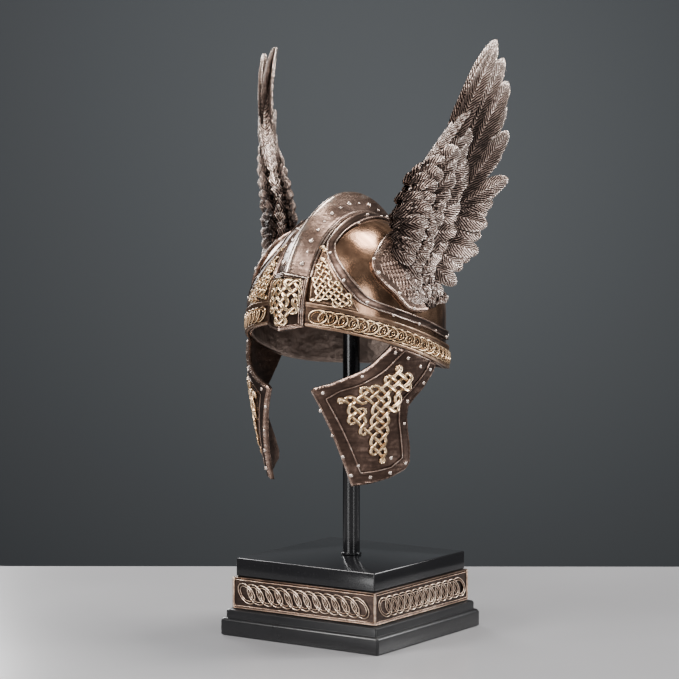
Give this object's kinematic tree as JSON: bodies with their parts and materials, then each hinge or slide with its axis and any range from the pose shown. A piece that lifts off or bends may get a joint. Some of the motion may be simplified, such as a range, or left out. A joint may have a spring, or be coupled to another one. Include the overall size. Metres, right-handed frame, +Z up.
{
  "type": "winged norse helmet on display stand",
  "caption": "Hollow bronze-look norse helmet with feather wings, knotwork brow band, keeled comb and cheek guards, on a black post and a square stepped base.",
  "frame": {"origin": "middle of the underside of the square base, on the post's axis", "axes": "+Z up along the post, -Y the way the helmet faces, +X the wearer's left"},
  "size_m": [0.1584, 0.1296, 0.3257],
  "materials": {
    "black_lacquer": "gloss",
    "dark_bronze": "antique satin",
    "warm_bronze": "antique semi-gloss",
    "pale_bronze": "antique satin",
    "old_gold": "antique satin"
  },
  "bodies": {
    "root": {"base_foot": "black_lacquer", "base_frieze": "warm_bronze", "base_slab": "black_lacquer", "post": "black_lacquer", "skull": "warm_bronze", "comb": "dark_bronze", "nose_plaque": "dark_bronze", "brow_band": "old_gold", "side_strap_left": "dark_bronze", "side_strap_right": "dark_bronze", "knot_panel_left": "old_gold", "knot_panel_right": "old_gold", "wing_plate_left": "dark_bronze", "wing_plate_right": "dark_bronze", "wing_left": "pale_bronze", "wing_right": "pale_bronze", "cheek_guard_left": "dark_bronze", "cheek_guard_right": "dark_bronze"}
  },
  "joints": []
}
